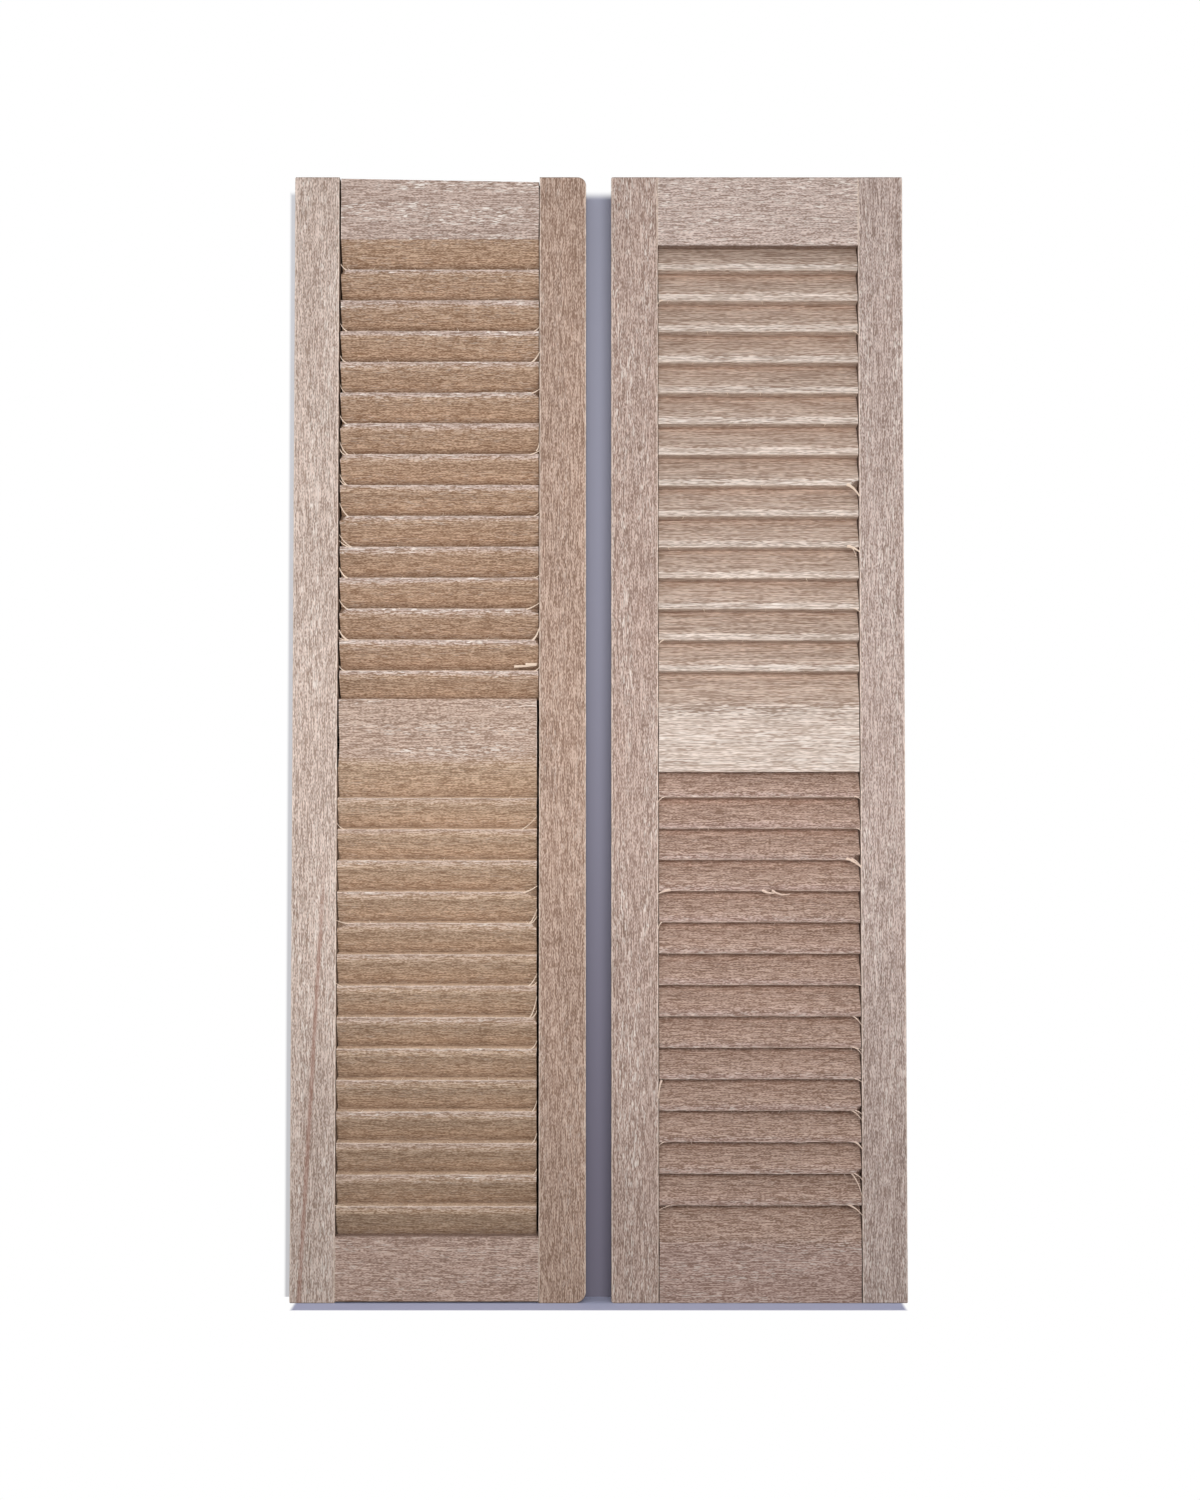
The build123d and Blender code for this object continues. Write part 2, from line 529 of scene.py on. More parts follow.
@dataclass
class WoodenPiece:
    """A piece of one wood, worked on a finely cut copy of its node's solid, in millimetres.

    Edges sharper than crease, in degrees, stay sharp.
    """

    crease: ClassVar[float] = 28
    node: str
    slot: str
    wood: WoodFinish
    low: Vector = field(init=False)
    high: Vector = field(init=False)
    mesh: bmesh.types.BMesh = field(init=False)

    def __post_init__(self) -> None:
        """Copy the solid and merge its loose triangles into whole faces."""
        self.low, self.high = (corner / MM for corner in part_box(self.node))
        self.mesh = bmesh.new()
        self.mesh.from_mesh(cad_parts[self.node].data)
        verts, edges = self.mesh.verts, self.mesh.edges
        bmesh.ops.remove_doubles(self.mesh, verts=verts, dist=1e-6)
        bmesh.ops.dissolve_limit(self.mesh, angle_limit=math.radians(0.5), verts=verts, edges=edges)
        bmesh.ops.scale(self.mesh, vec=(1 / MM,) * 3, verts=verts)
        for mark in ("torn", "polish_and_highlight", "painted_shade"):
            self.mesh.verts.layers.float.new(mark)

    @property
    def name(self) -> str:
        """The piece's name, and its material's."""
        return self.node.replace("louvred_", "") + "_wood"

    def end_place(self, end: End) -> float:
        """X of one of the piece's ends."""
        return self.low.x if end is LEFT else self.high.x

    def cut(self, axis: Vector, places: list[float]) -> None:
        """Cut every face but the back by planes square to an axis.

        Args:
            axis: The planes' normal.
            places: Where each plane crosses the axis.
        """
        faces = [face for face in self.mesh.faces if face.normal.y < 0.9]
        rims = dict.fromkeys(rim for face in faces for rim in (*face.verts, *face.edges))
        part = [*rims, *faces]
        for place in places:
            cut = bmesh.ops.bisect_plane(
                self.mesh, geom=part, dist=1e-5, plane_co=axis * place, plane_no=axis
            )
            part = cut["geom"]

    def work(self) -> None:
        """Cut and wear the piece, each kind in its own way."""
        raise NotImplementedError

    def build(self, grain_group: bpy.types.NodeTree) -> bpy.types.Object:
        """Work the piece and turn it into an object that stands for its node.

        Args:
            grain_group: The shared wood grain group.

        Returns:
            The finished piece.
        """
        self.work()
        bmesh.ops.scale(self.mesh, vec=(MM,) * 3, verts=self.mesh.verts)
        data = bpy.data.meshes.new(self.name)
        self.mesh.to_mesh(data)
        self.mesh.free()
        data.shade_smooth()
        data.set_sharp_from_angle(angle=math.radians(self.crease))
        data.materials.append(self.wood.material(self.name, grain_group))
        piece = stand(self.name, data)
        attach(piece, "root")
        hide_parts(self.node)
        report.info("%s: %d faces", self.name, len(data.polygons))
        return piece


@dataclass(frozen=True)
class Tear:
    """A sliver that the cutter lifted at a slat's end: rooted in the lip, bent back towards the stile.

    along is how far from the board's end it is rooted, foot how high off the lip, rise how far its tip
    stands off the lip and reach how far the tip is from the board's end. A pocket is a chip at its
    root, darkened with painted shade.
    """

    slat: int
    end: End
    along: float
    rise: float
    width: float = 0.14
    reach: float = -0.03
    foot: float = -0.1
    pocket: bool = False


@dataclass(frozen=True)
class LipChip:
    """A bite out of a slat's lip: X of its middle, how far it runs to each side and how deep it is."""

    slat: int
    place: float
    run: float
    bite: float


@dataclass
class SplinterStock:
    """Straight tapered slivers one unit long, from which every splinter of a board is bent."""

    sides: int = 6
    root_radius: float = 0.5
    tip_radius: float = 0.16
    cuts: tuple[float, ...] = (0.2, 0.4, 0.6, 0.8)
    flatness: float = 0.7
    blank: bpy.types.Mesh = field(init=False)

    def __post_init__(self) -> None:
        """Make the straight sliver, cut across so that it can bend."""
        work = bmesh.new()
        bmesh.ops.create_cone(
            work, cap_ends=True, segments=self.sides, radius1=self.root_radius, radius2=self.tip_radius,
            depth=1.0, matrix=Matrix.Translation((0, 0, 0.5)),
        )
        for place in self.cuts:
            whole = [*work.verts, *work.edges, *work.faces]
            bmesh.ops.bisect_plane(work, geom=whole, plane_co=(0, 0, place), plane_no=UPWARD)
        self.blank = bpy.data.meshes.new("splinter_stock")
        work.to_mesh(self.blank)
        work.free()

    def bend(self, mesh: bmesh.types.BMesh, root: Vector, elbow: Vector, tip: Vector, width: float) -> None:
        """Add a splinter to a mesh, curved from its root past its elbow to its tip.

        Args:
            mesh: The board it belongs to.
            root: Where it leaves the wood.
            elbow: The control point of its curve.
            tip: Where it ends.
            width: How wide it is at its root.
        """
        count = len(mesh.verts)
        mesh.from_mesh(self.blank)
        mesh.verts.ensure_lookup_table()
        torn = mesh.verts.layers.float["torn"]
        out = Vector((0, 1, 0))
        for vert in mesh.verts[count:]:
            t = max(0.0, min(1.0, vert.co.z))
            spine = root * (1 - t) ** 2 + elbow * 2 * t * (1 - t) + tip * t ** 2
            run = (elbow - root) * (1 - t) + (tip - elbow) * t
            side = run.cross(out).normalized()
            vert.co = spine + (side * vert.co.x + out * vert.co.y * self.flatness) * width
            vert[torn] = 1.0


LONG_RAG = Ripple(0.05, length=2.6)
SHORT_RAG = Ripple(0.045, length=0.5)
CRUMBLE = Ripple(0.07, length=0.8)
LONG_SWELL = Ripple(0.03, length=5, width=1.3)
SHORT_SWELL = Ripple(0.025, length=1.4, width=0.35)
SEAM_WANDER = Ripple(0.8, width=3.0)
SEAM_RAG = Ripple(0.06, width=0.45)
STICK_FACE = Ripple(0.02, length=1.1, width=6)
STICK_EDGE = Ripple(0.02, width=2.2)
SLAT_CUTS = (0.06, 0.18, 0.34, 0.52, 0.72, 0.95, 1.2, 1.5, 1.8, 2.1, 2.4, 2.7, 3.0, 3.22)
END_CUTS = (0.08, 0.2, 0.34, 0.5, 0.68, 0.88, 1.1, 1.36, 1.66)
END_RUN = 2.0
RUBBED = 0.7
# How much painted shade darkens a board's end faces in the seams.
SEAM_SHADE = 0.85
POCKET_BITE = 0.45


@dataclass
class LouvredBoard(WoodenPiece):
    """One board with its slats: where its lips are, its wear and its torn fibres.

    end_slope is how far the first lip is from the louvred end. end_gap is how wide the seam at each end
    is, and end_fall how far out of square the upper end was sawn. land_fade is how fast the sanding
    fades behind a lip, and rail_blend how far past the crease it is in full on the rail. column and
    rail_row are how far apart the cuts are where nothing needs them closer.
    """

    stock: SplinterStock
    lip: Lip
    end_slope: float
    tears: tuple[Tear, ...]
    end_gap: dict[End, float]
    chips: list[LipChip] = field(default_factory=list)
    end_fall: float = 0.0
    land_fade: float = 1.0
    rail_blend: float = 0.1
    slats: int = 14
    pitch: float = 3.555
    lean: float = 0.25
    depth: float = 1.7
    column: float = 0.42
    rail_row: float = 1.2
    first_lip: float = field(init=False)
    rail_crease: float = field(init=False)

    def __post_init__(self) -> None:
        """Copy the solid, and work out where the first lip and the rail's crease are."""
        super().__post_init__()
        louvred_end = self.low.z if self.lip is Lip.ABOVE else self.high.z
        self.first_lip = round(louvred_end + self.lip.value * self.end_slope, 3)
        self.rail_crease = round(self.lip_height(self.slats), 3)

    def lip_height(self, slat: int) -> float:
        """Height of one slat's lip, counted from the board's louvred end."""
        return self.first_lip + self.lip.value * slat * self.pitch

    def slat_at(self, z: float) -> int:
        """Find the slat that a height belongs to."""
        past = (z - self.first_lip) * self.lip.value - self.lean + self.pitch / 2
        return max(0, min(self.slats - 1, round(past / self.pitch)))

    def columns(self) -> list[float]:
        """Where the board is cut across its length: evenly, and closer together near both ends."""
        middle = even_steps(self.low.x + END_RUN, self.high.x - END_RUN, self.column)
        left = [self.low.x + step for step in END_CUTS]
        return left + middle + [self.high.x - step for step in reversed(END_CUTS)]

    def rows(self) -> list[float]:
        """Where the board is cut along its height, closer together at each lip."""
        sense, low, high = self.lip.value, self.low.z, self.high.z
        lips = [self.lip_height(slat) for slat in range(-1, self.slats + 1)]
        slopes = [lip - sense * step for lip in lips for step in SLAT_CUTS]
        slopes = [z for z in slopes if (z - self.rail_crease) * sense < 0.05]
        rail = even_steps(low, high, self.rail_row)[1:-1]
        rail = [z for z in rail if (z - self.rail_crease) * sense > 0.3]
        return sorted(z for z in slopes + rail if low + 0.05 < z < high - 0.05)

    def polish_and_highlight_at(self, z: float, depth: float, behind: float) -> float:
        """Tell how well the sandpaper reached a place, and where the painted highlight of a lip lies.

        Args:
            z: Its height.
            depth: How far it lies behind the front face.
            behind: How far it is from the nearest lip.

        Returns:
            From 0 on raw wood to 1 on a lip that was rubbed right down; from 0.72 up it also lays the
            painted highlight.
        """
        past_crease = (z - self.rail_crease) * self.lip.value
        if depth >= 0.2:
            return 0.0
        if past_crease > -0.02 and behind > 0.02:
            return RUBBED * min(1.0, (past_crease + 0.1) / self.rail_blend)
        return max(0.0, 1 - behind / 0.3, min(RUBBED, self.land_fade * (0.8 - behind)))

    def roughen(self, vert: bmesh.types.BMVert, place: Vector, slat: int) -> None:
        """Move a vertex so that its lip is ragged and crumbled and its slope uneven.

        Args:
            vert: The vertex.
            place: Where it was on the solid.
            slat: Which slat it belongs to.
        """
        x, y, z = place
        seed, sense, depth = self.wood.seed, self.lip.value, y - FRONT
        off_lip = (z - self.lip_height(slat)) * sense
        near_lip = math.exp(-((depth / 0.5) ** 2)) * math.exp(-((off_lip / 0.3) ** 2))
        line = slat * 3.7 + seed
        rag = LONG_RAG.at(x, line, 1) + SHORT_RAG.at(x, line, 2)
        crumble = max(0, CRUMBLE.at(x, line, 3)) + 0.02
        swell = LONG_SWELL.at(x, z, seed + 4) + SHORT_SWELL.at(x, z, seed + 5)
        on_slope = min(1.0, depth / 0.3) * (depth < self.depth - 0.05)
        vert.co.z += sense * near_lip * rag
        vert.co.y += near_lip * crumble + swell * on_slope

    def open_seam(self, vert: bmesh.types.BMVert, place: Vector) -> None:
        """Pull a vertex back from the stile if its place was at one of the board's ends."""
        for end in End:
            if abs(place.x - self.end_place(end)) < 0.01:
                seed = self.wood.seed + end.value
                gap = self.end_gap[end] * (1 + SEAM_WANDER.at(0.0, place.z, seed + 6))
                ragged = max(0, SEAM_RAG.at(0.5, place.z, seed + 8))
                vert.co.x -= end.value * (max(0, gap) + ragged)

    def wear(self) -> None:
        """Mark and move the vertices of the board's front and its slats."""
        low, high = self.low, self.high
        painted_shade, polish_and_highlight = (self.mesh.verts.layers.float[mark] for mark in ("painted_shade", "polish_and_highlight"))
        for vert in self.mesh.verts:
            place = vert.co.copy()
            depth = place.y - FRONT
            if self.end_fall and place.z > high.z - 0.2:
                vert.co.z -= self.end_fall * (place.x - low.x) / (high.x - low.x)
            if depth > self.depth + 0.3:
                continue
            slat = self.slat_at(place.z)
            at_end = min(place.x - low.x, high.x - place.x) < 0.02
            on_face = depth < 0.06
            behind = abs(place.z - self.lip_height(slat))
            # The board's ends get the painted highlight along their front edge.
            vert[polish_and_highlight] = float(on_face) if at_end else self.polish_and_highlight_at(place.z, depth, behind)
            # Its end faces in the seams get painted shade.
            vert[painted_shade] = SEAM_SHADE if at_end and not on_face else 0.0
            if low.z + 0.1 < place.z < high.z - 0.1:
                self.roughen(vert, place, slat)
            self.open_seam(vert, place)

    def chip(self, chip: LipChip) -> None:
        """Sink a stretch of a slat's lip, where wood is missing."""
        lip = self.lip_height(chip.slat)
        painted_shade, polish_and_highlight = (self.mesh.verts.layers.float[mark] for mark in ("painted_shade", "polish_and_highlight"))
        for vert in self.mesh.verts:
            inward = abs(vert.co.x - chip.place) / chip.run
            off_lip = (vert.co.z - lip) * self.lip.value
            if inward < 1 and -0.6 < off_lip < 0.3 and vert.co.y < FRONT + 1.2:
                loss = chip.bite * (1 - inward) * math.exp(-((off_lip / 0.35) ** 2))
                vert.co.z -= self.lip.value * loss
                vert.co.y += 0.8 * loss
                # Painted shade in the chipped pocket, which loses its polish highlight.
                vert[painted_shade] = min(1.0, 2.5 * loss)
                vert[polish_and_highlight] *= 1 - vert[painted_shade]

    def lift(self, tear: Tear) -> None:
        """Bend one torn sliver up from its slat's lip."""
        edge, inward, sense = self.end_place(tear.end), -tear.end.value, self.lip.value
        lip = self.lip_height(tear.slat)
        root = Vector((edge + inward * (tear.along + 0.25), FRONT + 0.12, lip + sense * tear.foot))
        tip = Vector((edge + inward * tear.reach, FRONT + 0.1, lip + sense * tear.rise))
        middle = tear.foot + 0.25 * (tear.rise - tear.foot)
        elbow = Vector((edge + inward * tear.along * 0.5, FRONT - 0.05, lip + sense * middle))
        self.stock.bend(self.mesh, root, elbow, tip, 1.35 * tear.width)

    def curl(self, chip: LipChip) -> None:
        """Hang the wood that a chip lifted from its lip as two short curls."""
        lip = self.lip_height(chip.slat)
        for start, stop, sag, width in ((-1.0, 0.2, 0.42, 0.34), (-0.2, 1.3, 0.7, 0.28)):
            spots = [chip.place + chip.run * step for step in (start, (start + stop) / 2, stop)]
            falls = [lip + self.lip.value * fall for fall in (-0.05, sag, 0.5 * sag)]
            root, elbow, tip = (Vector((x, FRONT + 0.08, z)) for x, z in zip(spots, falls))
            self.stock.bend(self.mesh, root, elbow, tip, width)

    def burr(self) -> None:
        """Raise the small whiskers that stand on every lip."""
        draw = random.Random(round(self.wood.seed * 101))
        sense = self.lip.value
        for slat in range(self.slats):
            lip = self.lip_height(slat)
            for _ in range(draw.randint(*self.wood.burrs)):
                x = draw.uniform(self.low.x + 0.5, self.high.x - 0.5)
                rise = draw.uniform(0.12, 0.42)
                shift = draw.uniform(-0.3, 0.3)
                root = Vector((x, FRONT + 0.1, lip - 0.12 * sense))
                tip = Vector((x + shift, FRONT + draw.uniform(0.1, 0.5), lip + rise * sense))
                elbow = root.lerp(tip, 0.5) + Vector((-0.4 * shift, -0.06, 0))
                self.stock.bend(self.mesh, root, elbow, tip, draw.uniform(0.06, 0.11))

    def work(self) -> None:
        """Cut and wear the board, then chip its lips and lift its slivers."""
        self.cut(UPWARD, self.rows())
        self.cut(SIDEWAYS, self.columns())
        self.wear()
        for tear in self.tears:
            if tear.pocket:
                self.chip(LipChip(tear.slat, self.end_place(tear.end), tear.along, POCKET_BITE))
        for chip in self.chips:
            self.chip(chip)
            self.curl(chip)
        for tear in self.tears:
            self.lift(tear)
        self.burr()


@dataclass
class PlainStick(WoodenPiece):
    """A stile or an end rail: a plain piece with slightly uneven faces and arrises.

    side_shade is how dark painted shade makes its sides in the seams, step the size of its faces and
    arris how far from each edge it is cut.
    """

    crease: ClassVar[float] = 40
    side_shade: dict[End, float] = field(default_factory=dict)
    step: float = 0.9
    arris: float = 0.16

    def wear(self) -> None:
        """Mark the arrises with the painted highlight of rubbed wear, the sides in the seams with painted
        shade and the ends darker, and make the faces uneven.
        """
        low, high, seed = self.low, self.high, self.wood.seed
        painted_shade, polish_and_highlight = (self.mesh.verts.layers.float[mark] for mark in ("painted_shade", "polish_and_highlight"))
        for vert in self.mesh.verts:
            x, y, z = vert.co
            on_arris = y < FRONT + 0.15 and min(x - low.x, high.x - x) < 0.14
            # Arrises get the painted highlight, partly rubbed wear; the rest is only rubbed.
            vert[polish_and_highlight] = 1.0 if on_arris else RUBBED
            # The top and bottom ends are darkened with the same brown.
            if min(z - low.z, high.z - z) < 0.1:
                vert[painted_shade], vert[polish_and_highlight] = 0.4, RUBBED
            # The sides in the seams get painted shade and no highlight.
            for side, dark in self.side_shade.items():
                if y > FRONT + 0.1 and abs(x - self.end_place(side)) < 0.02:
                    vert[painted_shade], vert[polish_and_highlight] = dark, 0.0
            along, across = (z, x) if self.wood.grain is GrainAxis.UPRIGHT else (x, z)
            vert.co.y += STICK_FACE.at(across, along, seed + 1) * (y < 0)
            vert.co.x += STICK_EDGE.at(y, z, seed + 2)

    def work(self) -> None:
        """Cut and wear the stick."""
        low, high = self.low, self.high
        for axis, start, stop in ((UPWARD, low.z, high.z), (SIDEWAYS, low.x, high.x)):
            middle = even_steps(start, stop, self.step)[1:-1]
            self.cut(axis, [start + self.arris, *middle, stop - self.arris])
        self.wear()


@dataclass(frozen=True)
class Lamp:
    """A soft rectangular lamp: its place and size in millimetres, its power in watts and its tint."""

    name: str
    place: tuple[float, float, float]
    size: tuple[float, float]
    power: float
    tint: Shade = (255, 252, 248)

    def hang(self, aim: Vector) -> None:
        """Hang the lamp so that it faces a point."""
        data = bpy.data.lights.new(self.name, "AREA")
        data.shape = "RECTANGLE"
        data.size, data.size_y = (side * MM for side in self.size)
        data.energy = self.power
        data.color = linear(self.tint)[:3]
        lamp = stand(self.name, data)
        place = Vector(self.place)
        lamp.location = place * MM
        lamp.rotation_euler = (aim - place).to_track_quat("-Z", "Y").to_euler()


LAMPS = (
    Lamp("main_lamp", (60, -400, 130), (220, 150), 0.58, (255, 252, 246)),
    Lamp("near_lamp", (0, -110, 66), (100, 60), 0.054),
    Lamp("left_lamp", (-220, -6, 80), (60, 100), 0.12),
    Lamp("right_lamp", (220, -6, 80), (60, 100), 0.12),
    Lamp("back_lamp", (-150, 380, 260), (150, 150), 1.0, (255, 255, 255)),
)
ROOM_LIGHT = (250, 252, 255)
FLOOR_GLOW = (110, 108, 106)
FLOOR_SHADOW = (176, 180, 206)
# Painted shade of the backdrop: in the gap between the shutters from foot to head, and nearly black behind
# the wood.
GAP_SHADE_FOOT = (124, 121, 139)
GAP_SHADE_HEAD = (166, 169, 189)
BEHIND_WOOD_SHADE = (24, 18, 16)


@dataclass(frozen=True)
class Studio:
    """Camera, lamps, floor and backdrop, around a pair of a given half width and height."""

    half_width: float
    height: float
    aim: Vector = field(default_factory=lambda: Vector((0.155, FRONT, 62.55)))
    distance: float = 230.0
    tilt: float = 2.0
    lens: float = 48.4
    ambient: float = 0.6
    backdrop_depth: float = 1.55
    reach: float = 1500.0

    def place_camera(self) -> None:
        """Set the camera square on, a little below the middle and tipped up by the tilt."""
        data = bpy.data.cameras.new("camera")
        data.lens = self.lens
        data.clip_start = 0.01
        camera = stand("camera", data)
        tilt = math.radians(self.tilt)
        back = Vector((0, -math.cos(tilt), -math.sin(tilt)))
        camera.location = (self.aim + back * self.distance) * MM
        camera.rotation_euler = (math.pi / 2 + tilt, 0, 0)
        bpy.context.scene.camera = camera

    def fill_room(self) -> None:
        """Fill the room with plain light, and show it white to the camera."""
        world = bpy.data.worlds.new("room")
        world.use_nodes = True
        world.node_tree.nodes.clear()
        bench = NodeBench(world.node_tree)
        seen = bench.add("ShaderNodeBackground")
        seen.inputs["Color"].default_value = (1, 1, 1, 1)
        glow = bench.add("ShaderNodeBackground")
        glow.inputs["Color"].default_value = linear(ROOM_LIGHT)
        glow.inputs["Strength"].default_value = self.ambient
        to_camera = bench.add("ShaderNodeLightPath").outputs["Is Camera Ray"]
        light = bench.blend(to_camera, glow.outputs[0], seen.outputs[0])
        bench.feed(bench.add("ShaderNodeOutputWorld").inputs["Surface"], light)
        bpy.context.scene.world = world

    def sheet(self, name: str, upright: bool) -> bpy.types.Object:
        """Make the floor, or the upright backdrop, as one large flat face.

        Args:
            name: The object's name.
            upright: Whether it stands behind the shutters instead of lying under them.

        Returns:
            The stage object.
        """
        sheet = bmesh.new()
        bmesh.ops.create_grid(sheet, x_segments=1, y_segments=1, size=self.reach * MM)
        if upright:
            turn = Matrix.Rotation(math.pi / 2, 3, "X")
            bmesh.ops.rotate(sheet, verts=sheet.verts, cent=(0, 0, 0), matrix=turn)
            place = (0, self.backdrop_depth * MM, self.reach * MM)
            bmesh.ops.translate(sheet, verts=sheet.verts, vec=place)
        data = bpy.data.meshes.new(name)
        sheet.to_mesh(data)
        sheet.free()
        data.materials.append(self.paper(name, upright))
        piece = stand(name, data)
        piece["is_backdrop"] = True
        return piece

    def backdrop_tone(self, bench: NodeBench, place: Sockets) -> tuple[Socket, Socket]:
        """Colour the backdrop with painted shade: darker in the gap towards the foot, and nearly black
        behind the wood so that open seams look dark.

        Args:
            bench: The material's bench.
            place: X, Y and Z on the object.

        Returns:
            The colour, and the mask that is 1 where it is plain white instead.
        """
        side, top = self.half_width, self.height
        fades = (
            ("X", -(side - 0.3), -side, 0.5),
            ("X", -(side + 0.5), -(side + 1.2), 1.0),
            ("X", side + 0.1, side + 0.4, 1.0),
            ("Z", top - 1.8, top - 0.6, 1.0),
        )
        clear: object = 0.0
        for axis, start, end, most in fades:
            edge = bench.fade(place[axis], start * MM, end * MM, 0.0, most)
            clear = bench.math("MAXIMUM", clear, edge)
        rise = bench.fade(place["Z"], 0.0, top * MM)
        # Painted shade in the gap between the shutters, darker towards the foot.
        shadow = bench.mix(rise, linear(GAP_SHADE_FOOT), linear(GAP_SHADE_HEAD))
        # Nearly black painted shade behind the wood, which shows through open seams.
        aside = bench.math("ABSOLUTE", place["X"])
        past_gap = bench.fade(aside, 3 * MM, 4 * MM)
        behind = bench.times(past_gap, bench.fade(aside, 34 * MM, 33 * MM))
        return bench.mix(behind, shadow, linear(BEHIND_WOOD_SHADE)), clear

    def paper(self, name: str, upright: bool) -> bpy.types.Material:
        """Make the white of the floor or backdrop, which keeps the object's shadow close to it.

        Args:
            name: The material's name.
            upright: Whether it is the backdrop's, which is not seen from behind.

        Returns:
            The material.
        """
        material = bpy.data.materials.new(name)
        material.use_nodes = True
        material.node_tree.nodes.clear()
        bench = NodeBench(material.node_tree)
        ray = bench.add("ShaderNodeLightPath").outputs
        place = bench.split(bench.place())
        mirror_ray = bench.math("MAXIMUM", ray["Is Glossy Ray"], ray["Is Transmission Ray"])
        seen = bench.math("MAXIMUM", ray["Is Camera Ray"], mirror_ray)
        if upright:
            tone, clear = self.backdrop_tone(bench, place)
        else:
            aside = bench.math("SUBTRACT", bench.math("ABSOLUTE", place["X"]), self.half_width * MM)
            before = bench.math("SUBTRACT", bench.math("ABSOLUTE", place["Y"]), -FRONT * MM)
            away = bench.math("MAXIMUM", bench.math("ADD", aside, 3.9 * MM), before)
            clear = bench.fade(away, 3.0 * MM, 3.5 * MM)
            tone = bench.mix(seen, linear(FLOOR_GLOW), linear(FLOOR_SHADOW))
        lit = bench.add("ShaderNodeBsdfDiffuse")
        bench.feed(lit.inputs["Color"], tone)
        white = bench.add("ShaderNodeEmission").outputs[0]
        result = bench.blend(bench.times(clear, seen), lit.outputs[0], white)
        if upright:
            from_behind = bench.add("ShaderNodeNewGeometry").outputs["Backfacing"]
            result = bench.blend(from_behind, result, bench.add("ShaderNodeBsdfTransparent").outputs[0])
        bench.feed(bench.add("ShaderNodeOutputMaterial").inputs["Surface"], result)
        return material

    def set_up(self) -> None:
        """Place the camera, the lamps, the floor and the backdrop."""
        self.place_camera()
        for lamp in LAMPS:
            lamp.hang(self.aim)
        self.fill_room()
        self.sheet("floor", upright=False)
        self.sheet("backdrop", upright=True)


def finishes() -> dict[str, WoodFinish]:
    """Choose the wood of each node."""
    across, upright = GrainAxis.ACROSS, GrainAxis.UPRIGHT
    ring = GrowthLine((-33.9, 0), (-31.1, 52), width=0.35, strength=0.5)
    return {
        "left_outer_stile": WoodFinish(upright, (200, 183, 176), (189, 168, 152), ring=ring, seed=1),
        "left_inner_stile": WoodFinish(upright, (174, 149, 136), (171, 145, 130), fleck_and_sheen_show=0.2, seed=2),
        "right_inner_stile": WoodFinish(upright, (178, 157, 150), (172, 150, 138), fleck_and_sheen_show=0.6, seed=3),
        "right_outer_stile": WoodFinish(
            upright, (183, 166, 162), (174, 156, 147), fleck_and_sheen_show=0.55, seed=4,
        ),
        "left_upper_louvred_board": WoodFinish(
            across, (187, 168, 161), (180, 151, 128), fleck_and_sheen_show=0.9, root_painted_light=-0.18, seed=5,
        ),
        "left_lower_louvred_board": WoodFinish(
            across, (182, 160, 148), (192, 165, 142), root_painted_light=-0.15, seed=6,
        ),
        "left_end_rail": WoodFinish(across, (184, 159, 149), (177, 152, 140), fleck_and_sheen_show=0.4, seed=7),
        "right_upper_louvred_board": WoodFinish(
            across, (209, 196, 189), (182, 162, 150), fibre_show=0.62, line_show=0.3, band_show=0.12,
            fibre_length=2.3, root_painted_light=0.15, seed=8,
        ),
        "right_lower_louvred_board": WoodFinish(
            across, (173, 148, 141), (165, 139, 127), torn=(236, 212, 196), fleck_and_sheen_show=0.4,
            root_painted_light=0.25, seed=9,
        ),
        "right_end_rail": WoodFinish(across, (190, 173, 168), (179, 157, 147), seed=10),
    }


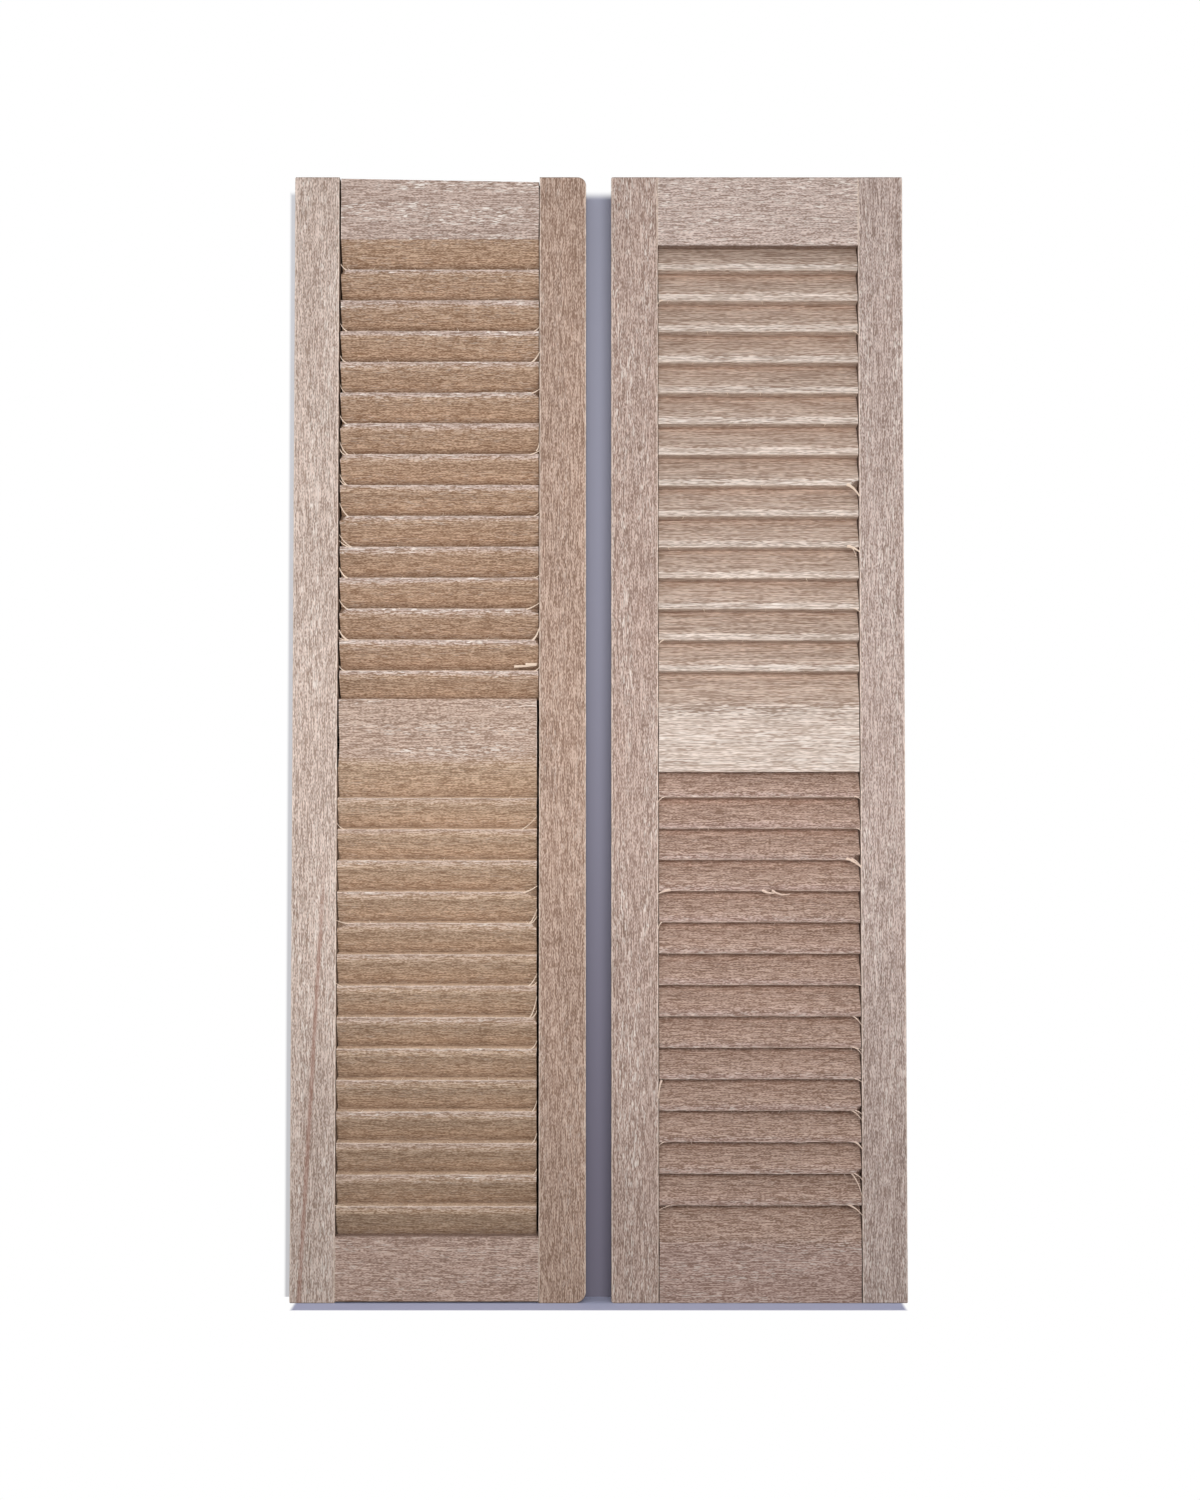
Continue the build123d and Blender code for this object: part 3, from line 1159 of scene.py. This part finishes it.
TEARS = {
    "left_upper_louvred_board": (
        Tear(13, LEFT, 0.55, 0.7, pocket=True),
        Tear(13, LEFT, 1.2, 0.5, width=0.08, reach=0.8),
        Tear(11, LEFT, 0.63, 0.9),
        Tear(10, LEFT, 0.46, 0.7),
        Tear(9, LEFT, 0.46, 0.9, width=0.09),
        Tear(8, LEFT, 0.57, 0.9, pocket=True),
        Tear(7, LEFT, 0.7, 1.4),
        Tear(7, LEFT, 0.35, 0.6, pocket=True),
        Tear(6, LEFT, 0.7, 1.25),
        Tear(6, LEFT, 0.6, 0.6),
        Tear(5, LEFT, 0.8, 1.5, pocket=True),
        Tear(4, LEFT, 1.25, 1.4),
        Tear(4, LEFT, 1.05, 0.7),
        Tear(3, LEFT, 0.7, 1.15, width=0.22),
        Tear(2, LEFT, 0.8, 1.05, pocket=True),
        Tear(1, LEFT, 0.8, 1.15, width=0.22),
        Tear(1, LEFT, 0.7, 0.25),
        Tear(0, LEFT, 0.57, 0.57),
        Tear(11, RIGHT, 0.57, 0.57),
        Tear(10, RIGHT, 0.7, 1.25, width=0.18),
        Tear(9, RIGHT, 0.8, 0.45, pocket=True),
        Tear(7, RIGHT, 1.05, 0.45),
        Tear(7, RIGHT, 0.12, 1.25, reach=0.06, foot=0.4),
        Tear(5, RIGHT, 0.57, 0.45),
        Tear(3, RIGHT, 0.57, 0.35),
        Tear(2, RIGHT, 1.4, 0.7, pocket=True),
        Tear(1, RIGHT, 0.57, 1.4, width=0.22, pocket=True),
        Tear(0, RIGHT, 2.6, 0.62, width=0.24, reach=0.3, foot=0.5),
        Tear(0, RIGHT, 1.3, 0.8, width=0.42, reach=0.25, foot=0.66),
        Tear(0, RIGHT, 0.45, 0.45),
    ),
    "left_lower_louvred_board": (
        Tear(12, LEFT, 0.8, 0.8, width=0.1),
        Tear(9, LEFT, 1.5, 0.35, pocket=True),
        Tear(7, LEFT, 0.7, 0.35),
        Tear(0, LEFT, 1.6, 0.12),
        Tear(0, LEFT, 1.3, 0.2),
        Tear(12, RIGHT, 1.7, 1.6, width=0.1),
        Tear(10, RIGHT, 1.4, 0.7, width=0.18, pocket=True),
        Tear(9, RIGHT, 0.7, 1.6),
        Tear(9, RIGHT, 0.57, 0.8, pocket=True),
        Tear(7, RIGHT, 0.8, 1.4),
        Tear(7, RIGHT, 0.57, 0.45),
        Tear(6, RIGHT, 0.57, 2.4),
        Tear(6, RIGHT, 0.35, 0.8, pocket=True),
        Tear(5, RIGHT, 0.45, 0.9),
        Tear(3, RIGHT, 0.35, 1.25),
        Tear(2, RIGHT, 0.35, 1.15),
        Tear(1, RIGHT, 0.25, 0.7),
    ),
    "right_upper_louvred_board": (
        Tear(2, RIGHT, 0.45, 0.45),
        Tear(7, RIGHT, 1.15, 1.25, width=0.32, pocket=True),
        Tear(9, RIGHT, 1.15, 0.57, width=0.32),
        Tear(9, RIGHT, 1.0, 1.15, width=0.1, reach=0.4),
        Tear(11, RIGHT, 0.5, 0.4),
        Tear(1, LEFT, 0.4, 0.4),
        Tear(12, LEFT, 0.6, 0.6),
    ),
    "right_lower_louvred_board": (
        Tear(0, RIGHT, 0.5, 0.3),
        Tear(1, RIGHT, 0.45, 0.3),
        Tear(2, RIGHT, 1.4, 0.9, width=0.28, pocket=True),
        Tear(2, RIGHT, 0.8, 0.8),
        Tear(6, RIGHT, 0.57, 0.12),
        Tear(7, RIGHT, 0.9, 1.05),
        Tear(8, RIGHT, 1.05, 0.25),
        Tear(8, RIGHT, 0.7, 0.8),
        Tear(9, RIGHT, 0.7, 0.35),
        Tear(10, RIGHT, 1.05, 1.15),
        Tear(10, RIGHT, 0.7, 0.45, pocket=True),
        Tear(11, RIGHT, 0.7, 0.8, width=0.22),
        Tear(12, RIGHT, 1.05, 2.6),
        Tear(12, RIGHT, 0.8, 0.7, pocket=True),
        Tear(13, RIGHT, 1.4, 1.15, width=0.18),
        Tear(0, LEFT, 0.57, 0.57),
        Tear(3, LEFT, 1.15, 0.35, width=0.26),
        Tear(4, LEFT, 0.25, 0.8),
        Tear(9, LEFT, 0.12, 2.2, width=0.2, reach=0.02, foot=0.1),
        Tear(11, LEFT, 0.57, 0.45),
        Tear(13, LEFT, 1.5, 0.57, width=0.1),
    ),
}


def louvred_boards(wood: dict[str, WoodFinish], stock: SplinterStock) -> list[WoodenPiece]:
    """Describe the four louvred boards, each with the wood and the tears of its node."""

    def board(node: str, lip: Lip, **sizes: object) -> LouvredBoard:
        """Describe one board."""
        return LouvredBoard(node, "louvre_wood", wood[node], stock, lip, tears=TEARS[node], **sizes)

    return [
        board(
            "left_upper_louvred_board", Lip.ABOVE, end_slope=3.2, end_gap={LEFT: 0.0, RIGHT: 0.1},
            end_fall=0.4, land_fade=0.8,
        ),
        board(
            "left_lower_louvred_board", Lip.ABOVE, end_slope=3.35, end_gap={LEFT: 0.2, RIGHT: 0.0},
            land_fade=0.65, rail_blend=1.4,
        ),
        board(
            "right_upper_louvred_board", Lip.BELOW, end_slope=2.8, end_gap={LEFT: 0.06, RIGHT: 0.09},
            land_fade=2.6, rail_blend=1.3,
        ),
        board(
            "right_lower_louvred_board", Lip.BELOW, end_slope=2.85, end_gap={LEFT: 0.07, RIGHT: 0.1},
            rail_blend=1.4, chips=[LipChip(slat=3, place=20.0, run=1.4, bite=0.12)],
        ),
    ]


def plain_sticks(wood: dict[str, WoodFinish]) -> list[WoodenPiece]:
    """Describe the stiles, with how dark painted shade makes their sides in the seams, and the two end
    rails.
    """
    stiles = {
        "left_outer_stile": {RIGHT: 0.95},
        "left_inner_stile": {LEFT: 0.9, RIGHT: 0.4},
        "right_inner_stile": {LEFT: 0.6, RIGHT: 0.8},
        "right_outer_stile": {LEFT: 0.8},
    }
    sticks = [PlainStick(node, "stile_wood", wood[node], dark) for node, dark in stiles.items()]
    rails = [PlainStick(node, "rail_wood", wood[node]) for node in ("left_end_rail", "right_end_rail")]
    return sticks + rails


def main() -> None:
    """Build the studio and the shutters, and dress every piece."""
    logging.basicConfig(level=logging.INFO, format="%(name)s: %(message)s")
    bpy.context.scene.view_settings.view_transform = "Standard"
    solid_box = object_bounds()
    far_corner = solid_box[1] / MM
    Studio(half_width=round(far_corner.x, 3), height=round(far_corner.z, 3)).set_up()
    wood = finishes()
    grain_group = build_grain_group()
    for piece in louvred_boards(wood, SplinterStock()) + plain_sticks(wood):
        piece.build(grain_group)
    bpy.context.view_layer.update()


if __name__ == "__main__":
    main()
